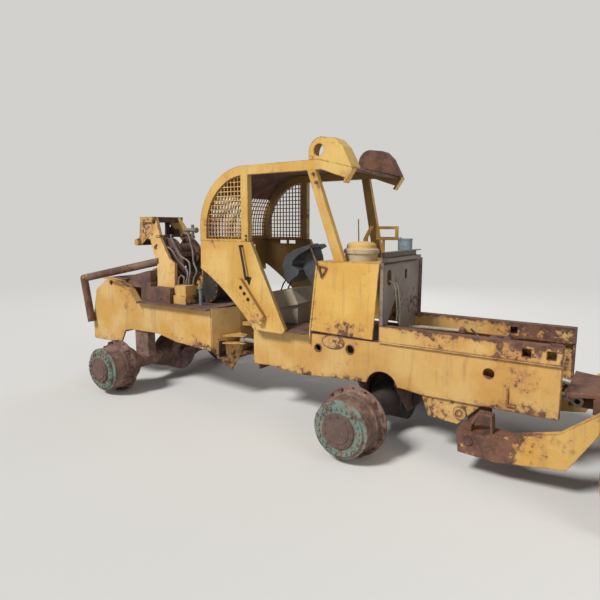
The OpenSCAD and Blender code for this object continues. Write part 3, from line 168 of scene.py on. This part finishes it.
def weathered_paint(name, fresh, faded, rust, wear, zones=(), below=None, inner_shade=None):
    """Sun-bleached enamel with chips that crowd at edges and in the zones, each with a rusty halo.

    inner_shade is (middle, colour, share) of the painted shade, a patchy brown darkening, on faces that look
    towards the middle of a room.
    below is (height, width of the change, colour) of a second paint under that height.
    room is (middle, colour, share) of the grime on faces that look towards the middle of a room."""
    material, tree, shader = new_material(name)
    place = add(tree, "ShaderNodeTexCoord", output="Object")
    normal = add(tree, "ShaderNodeNewGeometry", output="Normal")
    measured = {axis: add(tree, SPLIT, {0: place}, axis) for axis in "XYZ"}
    measured["up"] = add(tree, SPLIT, {0: normal}, "Z")
    paint = aged_paint(tree, place, normal, measured["Z"], fresh, faded, rust[2], below, inner_shade)
    bare = bareness(tree, place, normal, measured, zones)
    chipped = add(tree, RANGE, {0: bare, LOW: 0.655 - wear, HIGH: 0.675 - wear}, interpolation_type=SMOOTH)
    halo = add(tree, RANGE, {0: bare, LOW: 0.59 - wear, HIGH: 0.66 - wear, OUT_HIGH: 0.55},
               interpolation_type=SMOOTH)

    colour = add(tree, MIX, {0: halo, A: paint, B: rgb(rust[2])}, BLEND, data_type="RGBA")
    colour = add(tree, MIX, {0: chipped, A: colour, B: rust_tones(tree, place, *rust)}, BLEND, data_type="RGBA")
    rough = add(tree, MATH, {0: chipped, 1: 0.28, 2: 0.56}, operation="MULTIPLY_ADD")
    grain = add(tree, NOISE, {"Vector": place, "Scale": per_metre(5), "Detail": 4, "Roughness": 0.7})
    depth = add(tree, MATH, {0: chipped, 1: 0.25}, operation="ADD")
    grain = add(tree, MATH, {0: grain, 1: depth}, operation="MULTIPLY")
    relief = add(tree, MATH, {0: chipped, 1: -0.5, 2: grain}, operation="MULTIPLY_ADD")
    surface(tree, shader, colour, rough, relief, 1.6)
    return material


def mottled(name, tones, remnant=None, left=0.0, grain_mm=4, pale="A08A76"):
    """A bare surface of three tones: dry, pitted, bleached in places, some with flakes of paint left."""
    material, tree, shader = new_material(name)
    place = add(tree, "ShaderNodeTexCoord", output="Object")
    colour = rust_tones(tree, place, *tones)
    dusty = add(tree, NOISE, {"Vector": place, "Scale": per_metre(420), "Detail": 5, "Roughness": 0.6})
    dusty = add(tree, RANGE, {0: dusty, LOW: 0.48, HIGH: 0.74, OUT_HIGH: 0.35}, interpolation_type=SMOOTH)
    colour = add(tree, MIX, {0: dusty, A: colour, B: rgb(pale)}, BLEND, data_type="RGBA")
    if remnant:
        coarse = add(tree, NOISE, {"Vector": place, "Scale": per_metre(260), "Detail": 7, "Roughness": 0.7})
        flake = add(tree, NOISE, {"Vector": place, "Scale": per_metre(34), "Detail": 6, "Roughness": 0.7})
        coarse = add(tree, MATH, {0: coarse, 1: 0.6}, operation="MULTIPLY")
        flake = add(tree, MATH, {0: flake, 1: 0.4, 2: coarse}, operation="MULTIPLY_ADD")
        flake = add(tree, RANGE, {0: flake, LOW: 0.62 - left, HIGH: 0.65 - left}, interpolation_type=SMOOTH)
        colour = add(tree, MIX, {0: flake, A: colour, B: rgb(remnant)}, BLEND, data_type="RGBA")
    rough = add(tree, NOISE, {"Vector": place, "Scale": per_metre(18), "Detail": 4, "Roughness": 0.6})
    rough = add(tree, RANGE, {0: rough, LOW: 0.3, HIGH: 0.7, OUT_LOW: 0.72, OUT_HIGH: 0.95})
    grain = add(tree, NOISE, {"Vector": place, "Scale": per_metre(grain_mm), "Detail": 5, "Roughness": 0.75})
    surface(tree, shader, colour, rough, grain, 1.5)
    return material


def worn_rod(name):
    """Hard-chromed rod left in the weather: grey and pitted, rust freckles, still with some gloss."""
    material, tree, shader = new_material(name)
    place = add(tree, "ShaderNodeTexCoord", output="Object")
    freckles = add(tree, NOISE, {"Vector": place, "Scale": per_metre(7), "Detail": 6, "Roughness": 0.75})
    freckles = add(tree, RANGE, {0: freckles, LOW: 0.50, HIGH: 0.62}, interpolation_type=SMOOTH)
    colour = add(tree, MIX, {0: freckles, A: rgb("A9A59C"), B: rgb("6A4638")}, BLEND, data_type="RGBA")
    rough = add(tree, MATH, {0: freckles, 1: 0.45, 2: 0.38}, operation="MULTIPLY_ADD")
    shader.inputs["Metallic"].default_value = 0.55
    surface(tree, shader, colour, rough, freckles, 0.4)
    return material


def hub_casting(name):
    """Cast hub in baked pink-brown primer: greenish paint left on the rim's face, a darker end cover."""
    material, tree, shader = new_material(name)
    place = add(tree, "ShaderNodeTexCoord", output="Object")
    x, y, z = (add(tree, SPLIT, {0: place}, axis) for axis in "XYZ")
    x = add(tree, MATH, {0: x, 1: SHIFT}, operation="SUBTRACT")
    x = add(tree, MATH, {0: x}, operation="ABSOLUTE")
    flat = add(tree, "ShaderNodeCombineXYZ", {0: x, 1: z})
    radius = add(tree, VECTOR, {0: flat, 1: (AXLE_X * MM, AXLE_Z * MM, 0)}, "Value", operation="DISTANCE")
    out = add(tree, MATH, {0: y}, operation="ABSOLUTE")
    colour = rust_tones(tree, place, "5A443B", "8A6C5E", "AE9482")

    patch = add(tree, NOISE, {"Vector": place, "Scale": per_metre(70), "Detail": 7, "Roughness": 0.72})
    outer = add(tree, RANGE, {0: out, LOW: (FACE_Y - 40) * MM, HIGH: (FACE_Y - 30) * MM})
    beyond = add(tree, RANGE, {0: radius, LOW: 0.134, HIGH: 0.140})
    ring = add(tree, MATH, {0: outer, 1: beyond}, operation="MULTIPLY")
    left = add(tree, RANGE, {0: patch, LOW: 0.43, HIGH: 0.55, OUT_HIGH: 0.85}, interpolation_type=SMOOTH)
    green = add(tree, MATH, {0: ring, 1: left}, operation="MULTIPLY")
    colour = add(tree, MIX, {0: green, A: colour, B: rgb("6D877B")}, BLEND, data_type="RGBA")
    within = add(tree, RANGE, {0: radius, LOW: 0.140, HIGH: 0.134})
    cover = add(tree, MATH, {0: outer, 1: within}, operation="MULTIPLY")
    cover = add(tree, MATH, {0: cover, 1: 0.75}, operation="MULTIPLY")
    colour = add(tree, MIX, {0: cover, A: colour, B: rgb("5C4840")}, BLEND, data_type="RGBA")
    grain = add(tree, NOISE, {"Vector": place, "Scale": per_metre(6), "Detail": 5, "Roughness": 0.7})
    rough = add(tree, RANGE, {0: grain, LOW: 0.3, HIGH: 0.7, OUT_LOW: 0.66, OUT_HIGH: 0.92})
    surface(tree, shader, colour, rough, grain, 1.8)
    return material


RUST = ("4F362B", "75503D", "96694A")
MATERIALS = {
    # Golden frame paint, fairly whole: fine chips, brown along its upper and lower edges and at the front end
    "frame_yellow": weathered_paint("faded_yellow_enamel", "C6944A", "D3AC68", RUST, 0.015,
                                    [("up", 0.6, 0.95, 0.18), ("Z", 0.60, 0.44, 0.12),
                                     ("Z", 0.848, 0.856, 0.075), ("Z", 0.925, 0.985, 0.085),
                                     ("X", 1.70, 2.35, 0.055), ("X", 2.405, 2.455, 0.09),
                                     ("Y", 0.30, 0.40, 0.025), ("X", 0.15, -0.20, 0.05)]),
    # The cowl's panels: scratched, brown towards their lower edges
    "cowl_yellow": weathered_paint("scratched_yellow_enamel", "D2A04A", "DDB25C", RUST, 0.062,
                                   [("up", 0.6, 0.95, 0.05), ("Z", 1.12, 0.86, 0.065)]),
    # The same paint on the rear frame and the arch, paler on what lies open to the sun
    "rear_yellow": weathered_paint("bleached_yellow_enamel", "CB9A4C", "D6B070", RUST, 0.045,
                                   [("up", 0.6, 0.95, 0.07), ("Z", 0.72, 0.45, 0.10)]),
    # Gear case and valves: yellow where the rain reaches; the case's front darkened nearly black, partly oil
    # stain and partly painted shade
    "gear_yellow": weathered_paint("oil_and_shade_yellow_enamel", "CB9A4C", "D6B070",
                                   ("241F1B", "3A3029", "5A4838"), 0.05, [("X", -1.17, -1.09, 0.30)]),
    # Fairlead: the outer cheek still yellow, everything else scale
    "head_yellow": weathered_paint("scaled_yellow_enamel", "C6944A", "D0A35C",
                                   ("46302A", "644840", "7D5A4B"), 0.055,
                                   [("Y", -0.198, -0.187, 0.30), ("up", 0.6, 0.95, 0.20)]),
    # Cab paint, chalky, with brown runs under every seam; painted shade in a patchy soot brown on the inside
    # faces
    "cab_yellow": weathered_paint("chalky_yellow_enamel", "CE9E4A", "DAB468", RUST, 0.045,
                                  [("up", 0.6, 0.95, 0.06)], inner_shade=((-0.15, 0.0, 1.75), "5F4A30", 0.85)),
    # Hood paint: the far hood has lost nearly all of it
    "hood_yellow": weathered_paint("burnt_yellow_enamel", "D0A048", "DAB464", RUST, 0.045,
                                   [("Y", 0.20, 0.36, 0.24)]),
    # Oval cover on the frame, half of its paint gone
    "cover_yellow": weathered_paint("blistered_yellow_enamel", "C6944A", "D3AC68", RUST, 0.16),
    # Arm paint, worn away over the boxed rear ends
    "arm_yellow": weathered_paint("chipped_yellow_enamel", "C8953F", "D3A95C", RUST, 0.075,
                                  [("X", 2.35, 2.02, 0.16), ("up", 0.6, 0.95, 0.04)]),
    # Bowl: yellow lid on a base gone beige
    "bowl": weathered_paint("two_tone_bowl_enamel", "C99A48", "D3AE68", RUST, 0.02,
                            below=(1.590, 0.006, "B9AC92")),
    # Grey-brown undercoat on the inner wall, stained by oil, rusty at its foot and its outer edge
    "grey": weathered_paint("oil_stained_undercoat", "766B60", "8A7E72", ("3E2F2A", "5E473E", "775A4C"), 0.065,
                            [("Z", 1.22, 1.10, 0.05), ("Y", -0.33, -0.42, 0.07)]),
    # Beige paint of the seat box, dusty
    "beige": weathered_paint("dusty_beige_enamel", "A79B84", "B9AE98", ("5A4A3E", "75604F", "8A7360"), 0.03),
    # Blue-grey of the dash cover, gone matt
    "slate": weathered_paint("matt_slate_enamel", "33363A", "494D50", ("3B2E27", "57443A", "6E5748"), 0.03),
    # Dry purple-brown scale on plates that lie open to the rain
    "rust": mottled("brown_rust_scale", ("4E362F", "6F4F43", "8B6652")),
    # Rust with yellow flakes, as on the blade and the guard bars
    "rust_flakes": mottled("rust_with_paint_flakes", ("543A31", "76523F", "916A4C"), "C09246", 0.05),
    # Oily cast iron of the axle and the gears, nearly black
    "iron": mottled("oily_cast_iron", ("231F1D", "382F29", "4E4036"), pale="5B4E42"),
    # Hose rubber bleached and dusty
    "rubber": mottled("perished_hose_rubber", ("5D5952", "7F7A70", "9C968A"), grain_mm=3, pale="A9A293"),
    # Wire insulation once white
    "insulation": mottled("yellowed_insulation", ("8F8672", "B3AA94", "C9C1AC"), grain_mm=3, pale="D2CBB8"),
    # Blue-grey paint of the can and the post
    "can": mottled("scuffed_blue_grey_paint", ("5C6870", "7A878E", "94A0A5"), grain_mm=5, pale="A5ABAA"),
    # Chrome gone grey and freckled, the only finish with a metal's gloss
    "rod": worn_rod("pitted_chrome_rod"),
    # Pink-brown casting with patches of green on the rim
    "hub": hub_casting("primed_hub_casting"),
}

NODE_FINISH = {
    "frame_yellow": ["frame_sides", "hangers", "lift_barrel_left", "lift_barrel_right"],
    "rear_yellow": ["rear_sides", "rear_nose", "arch"],
    "gear_yellow": ["deck_gear"],
    "head_yellow": ["fairlead"],
    "cab_yellow": ["cab_side_panels", "cab_rear_panel", "cab_frame", "front_pillars", "quarter_screens",
                   "rear_screen", "side_step"],
    "cowl_yellow": ["cowl"],
    "hood_yellow": ["lamp_hoods"],
    "arm_yellow": ["blade_arms"],
    "bowl": ["cowl_bowl"],
    "grey": ["firewall"],
    "beige": ["control_box"],
    "slate": ["dash_console"],
    "rust": ["frame_cross", "bulkhead", "hinge_fork", "axle_cradle", "cab_floor", "roof", "rear_deck",
             "winch_case", "winch_drum", "butt_plate", "steer_barrel_left", "steer_barrel_right"],
    "rust_flakes": ["blade", "guard_bars"],
    "iron": ["front_axle", "gear_case", "grab_handles"],
    "rubber": ["arch_hoses"],
    "rod": ["lift_rod_left", "lift_rod_right", "steer_rod_left", "steer_rod_right"],
    "hub": ["hub_front_left", "hub_front_right", "hub_rear_left", "hub_rear_right", "rear_axle"],
}
for finish, names in NODE_FINISH.items():
    for name in names:
        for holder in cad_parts[name].material_slots:
            holder.material = MATERIALS[finish]


# Small pieces, placed in millimetres from the articulation pin

def at(x, y, z):
    """That place in the row frame."""
    return Vector((x * MM + SHIFT, y * MM, z * MM))


def drum(shape, middle, along, radius, length, sides=24, tip=None):
    """A round, hexagonal or tapered bar about its middle."""
    turn = Vector(along).to_track_quat("Z", "Y").to_matrix().to_4x4()
    bmesh.ops.create_cone(shape, cap_ends=True, segments=sides, radius1=radius * MM,
                          radius2=(radius if tip is None else tip) * MM, depth=length * MM,
                          matrix=Matrix.Translation(middle) @ turn)


def settle(piece, body, finish):
    """The piece joins the scene, rides its body and takes its finish."""
    piece.data.materials.append(MATERIALS[finish])
    bpy.context.scene.collection.objects.link(piece)
    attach(piece, body)
    return piece


def solid(name, shape, body, finish):
    """The shape as a piece, smooth where its faces meet gently."""
    bmesh.ops.recalc_face_normals(shape, faces=shape.faces)
    mesh = bpy.data.meshes.new(name)
    shape.to_mesh(mesh)
    shape.free()
    for face in mesh.polygons:
        face.use_smooth = True
    mesh.set_sharp_from_angle(angle=math.radians(35))
    return settle(bpy.data.objects.new(name, mesh), body, finish)


def smooth_line(points, steps=6):
    """Points close together on a smooth line through the given ones."""
    line = []
    for i in range(len(points) - 1):
        a, b, c, d = (points[min(max(k, 0), len(points) - 1)] for k in (i - 1, i, i + 1, i + 2))
        for k in range(steps):
            t = k / steps
            line.append(0.5 * (2 * b + (c - a) * t + (2 * a - 5 * b + 4 * c - d) * t ** 2
                               + (3 * b - a - 3 * c + d) * t ** 3))
    return line + [points[-1]]


def wire(name, lines, radius, body, finish):
    """Round wire, rod or pipe along each of the lines."""
    curve = bpy.data.curves.new(name, "CURVE")
    curve.dimensions = "3D"
    curve.bevel_depth = radius * MM
    curve.bevel_resolution = 3
    curve.use_fill_caps = True
    for line in lines:
        spline = curve.splines.new("POLY")
        spline.points.add(len(line) - 1)
        for point, spot in zip(spline.points, line):
            point.co = (*spot, 1.0)
    return settle(bpy.data.objects.new(name, curve), body, finish)


def ring_of_heads(shape, centre, outward, radius, face, count, size, height, sides=6, start=0.5, skip=()):
    """Bolt heads or studs on a circle about an axis along y.

    centre is (x, z), face is how far their feet are from the machine's middle, and start is how far round
    the first one is, in steps."""
    for i in range(count):
        if i in skip:
            continue
        turn = 2 * math.pi * (i + start) / count
        drum(shape, at(centre[0] + radius * math.cos(turn), outward * (face + height / 2),
                       centre[1] + radius * math.sin(turn)), (0, outward, 0), size, height, sides)


def hub_fasteners():
    """Bolts round the rim's face and the end cover, and the wheel studs, some of them gone."""
    for end, x in (("front", AXLE_X), ("rear", -AXLE_X)):
        for side, outward in (("left", 1), ("right", -1)):
            centre = (x, AXLE_Z)
            body = f"hub_{end}_{side}"
            bolts = bmesh.new()
            ring_of_heads(bolts, centre, outward, RIM_BOLTS, FACE_Y, 24, 11, 11)
            ring_of_heads(bolts, centre, outward, COVER_BOLTS, COVER_Y, 10, 9, 5.5)
            solid(f"hub_bolts_{end}_{side}", bolts, body, "hub")
            studs = bmesh.new()
            ring_of_heads(studs, centre, outward, WHEEL_STUDS, STUD_Y, 16, 10.5, 76, sides=12, start=0,
                          skip=LOST_STUDS)
            solid(f"wheel_studs_{end}_{side}", studs, body, "rust")


def deck_fittings():
    """Bolts round the gear case's flanges, a post beside it, and the valve on the far arch leg."""
    bolts = bmesh.new()
    for outward in (-1, 1):
        ring_of_heads(bolts, GEAR, outward, 148, GEAR_Y, 14, 11, 11)
    solid("gear_case_bolts", bolts, "rear_frame", "rust")
    post = bmesh.new()
    drum(post, at(-600, -372, 1050), UP, 19, 172, 16)
    drum(post, at(-600, -372, 1146), UP, 26, 22, 16)
    solid("deck_post", post, "rear_frame", "can")
    valve = bmesh.new()
    drum(valve, at(-1315, 205, 1745), FORWARD, 24, 190, 20)
    drum(valve, at(-1228, 205, 1745), FORWARD, 34, 30, 6)
    drum(valve, at(-1285, 205, 1735), UP, 19, 150, 16)
    drum(valve, at(-1285, 205, 1662), UP, 28, 24, 6)
    solid("leg_valve", valve, "rear_frame", "grey")


def bay_fittings():
    """What is left in the engine bay: a pale pipe, its fitting, a brace and a disc; a ring on the near rail."""
    pipe = [at(1500, 0, 880), at(1567, 0, 910), at(1700, 0, 924), at(1850, 0, 926), at(2010, 0, 930)]
    wire("bay_pipe", [smooth_line(pipe)], 15, "front_frame", "insulation")
    metal = bmesh.new()
    drum(metal, at(2036, 0, 930), FORWARD, 28, 44, 6)
    drum(metal, at(2145, 0, 920), (0.75, 0, -0.66), 9, 110, 12)
    drum(metal, at(2336, 0, 900), UP, 80, 26, 40)
    drum(metal, at(2336, 0, 917), UP, 26, 14, 24)
    solid("bay_disc", metal, "front_frame", "arm_yellow")
    ring = [at(2790 + 38 * math.cos(a * math.pi / 12), -392 + 26 * math.sin(a * math.pi / 12), 985)
            for a in range(25)]
    wire("rail_ring", [ring], 5, "front_frame", "rust")


def cab_fittings():
    """Levers beside the seat, the bent rod from the dash to its bracket, a thin rod behind the bowl, bolts."""
    lever = [at(250, -100, 1160), at(276, -100, 1220), at(311, -100, 1272), at(331, -100, 1352)]
    lever_two = [p + Vector((0.030, 0.060, -0.02)) for p in lever]
    wire("cab_levers", [smooth_line(lever), smooth_line(lever_two)], 7, "front_frame", "iron")
    knobs = bmesh.new()
    for spot in (lever[-1], lever_two[-1]):
        drum(knobs, spot + Vector((0, 0, 0.012)), (0.3, 0, 1), 17, 34, 16, 13)
    solid("lever_knobs", knobs, "front_frame", "iron")
    rod = [at(730, -180, 1628), at(655, -184, 1620), at(664, -200, 1599), at(770, -330, 1552),
           at(873, -456, 1508), at(904, -458, 1442), at(936, -458, 1377)]
    bracket = [at(938, -457, 1350), at(993, -457, 1436), at(917, -457, 1452), at(938, -457, 1350)]
    wire("bent_rod", [smooth_line(rod), bracket], 8, "front_frame", "rust")
    wire("thin_rod", [[at(884, 350, 1488), at(871, 350, 1859)]], 6, "front_frame", "cab_yellow")
    bolts = bmesh.new()
    for x, z, size in ((896, 2222, 15), (925, 2151, 15), (159, 1702, 12), (159, 1668, 12)):
        drum(bolts, at(x, POST_BOLT_Y, z), LEFT, size, 16, 6)
    solid("cab_bolts", bolts, "front_frame", "rust")


def wall_fittings():
    """Can on the channel of the inner wall, wires out of its slot, and the oval cover and rims on the frame."""
    can = bmesh.new()
    drum(can, at(1505, 10, 1634), UP, 62, 100, 40)
    drum(can, at(1505, 10, 1680), UP, 66, 10, 40)
    solid("tin_can", can, "front_frame", "can")

    for i, (start, foot, bulge) in enumerate(((-262, -150, 34), (-240, -196, 50), (-286, -236, 42))):
        line = smooth_line([at(1494, start, 1338), at(1494 + bulge, start + 12, 1306),
                            at(1500 + bulge, foot, 1170), at(1496 + bulge, foot + 26, 1050),
                            at(1500 + bulge, foot + 8, 940 + 30 * i)])
        piece = wire(f"firewall_wire_{i + 1}", [line], 6, "front_frame", "insulation")

    oval = bmesh.new()
    turn = Matrix.Rotation(math.radians(90), 4, "X")
    bmesh.ops.create_cone(oval, cap_ends=True, segments=40, radius1=1.0, radius2=1.0, depth=1.0,
                          matrix=Matrix.Translation(at(1048, SIDE_Y - 3.3, 790))
                          @ Matrix.Diagonal((0.108, 0.006, 0.057, 1.0)) @ turn)
    solid("frame_cover", oval, "front_frame", "cover_yellow")
    turns = [2 * math.pi * k / 48 for k in range(49)]
    rims = [[at(x + wide * math.cos(t), SIDE_Y - 2, z + tall * math.sin(t)) for t in turns]
            for x, z, wide, tall in ((1048, 790, 109, 58), (893, 719, 34, 34), (1215, 746, 39, 39))]
    wire("side_rims", rims, 5, "front_frame", "rust")
    weld = [at(1492, SIDE_Y - 4, 841), at(2832, SIDE_Y - 4, 841)]
    wire("frame_weld", [weld], 4, "front_frame", "frame_yellow")


hub_fasteners()
deck_fittings()
bay_fittings()
cab_fittings()
wall_fittings()


# Camera, floor and light

def studio():
    """Pale floor that runs into the backdrop, a broad soft key light, and weak lights from the other sides."""
    scene = bpy.context.scene
    scene.view_settings.view_transform = "Standard"
    # Lens and place solved from the photograph's straight edges
    lens = bpy.data.cameras.new("view")
    lens.sensor_width = 36.0
    lens.lens = 30.41
    camera = bpy.data.objects.new("view", lens)
    camera.location = (2.826, -4.18, 1.79)
    camera.rotation_euler = (math.radians(90 - 8.272), 0, math.radians(33.945))
    scene.collection.objects.link(camera)
    scene.camera = camera

    floor_mesh = bpy.data.meshes.new("studio_floor")
    shape = bmesh.new()
    bmesh.ops.create_grid(shape, x_segments=1, y_segments=1, size=300)
    shape.to_mesh(floor_mesh)
    shape.free()
    floor = bpy.data.objects.new("studio_floor", floor_mesh)
    scene.collection.objects.link(floor)
    material, tree, shader = new_material("pale_studio_floor")
    shader.inputs["Base Color"].default_value = rgb("DAD8D3")
    shader.inputs["Roughness"].default_value = 1.0
    shader.inputs["Specular IOR Level"].default_value = 0.0
    floor_mesh.materials.append(material)

    # As seen, the backdrop is as bright as the floor's far edge; as a light it is half as strong
    world = bpy.data.worlds.new("studio_world")
    scene.world = world
    world.use_nodes = True
    tree = world.node_tree
    seen = 0.0
    for ray in ("Is Camera Ray", "Is Glossy Ray", "Is Transmission Ray"):
        seen = add(tree, MATH, {0: seen, 1: add(tree, "ShaderNodeLightPath", output=ray)}, operation="MAXIMUM")
    background = tree.nodes["Background"]
    tone = add(tree, MIX, {0: seen, A: rgb("C9CDD3"), B: rgb("E9E8E4")}, BLEND, data_type="RGBA")
    tree.links.new(tone, background.inputs["Color"])
    tree.links.new(add(tree, MATH, {0: seen, 1: 0.386, 2: 0.40}, operation="MULTIPLY_ADD"),
                   background.inputs["Strength"])

    for name, kind, place, size, power in (
            ("key", "SUN", (-1.9, -6.2, 7.4), math.radians(14), 3.0),
            ("fill", "AREA", (7.5, -3.0, 4.0), 5.0, 110),
            ("back", "AREA", (-4.0, 7.0, 5.5), 5.0, 130)):
        lamp = bpy.data.lights.new(name, kind)
        if kind == "SUN":
            lamp.angle = size
        else:
            lamp.shape = "DISK"
            lamp.size = size
        lamp.energy = power
        lamp_object = bpy.data.objects.new(name, lamp)
        lamp_object.location = place
        lamp_object.rotation_euler = (Vector((0.1, 0, 0.8)) - Vector(place)).to_track_quat("-Z", "Y").to_euler()
        scene.collection.objects.link(lamp_object)


studio()
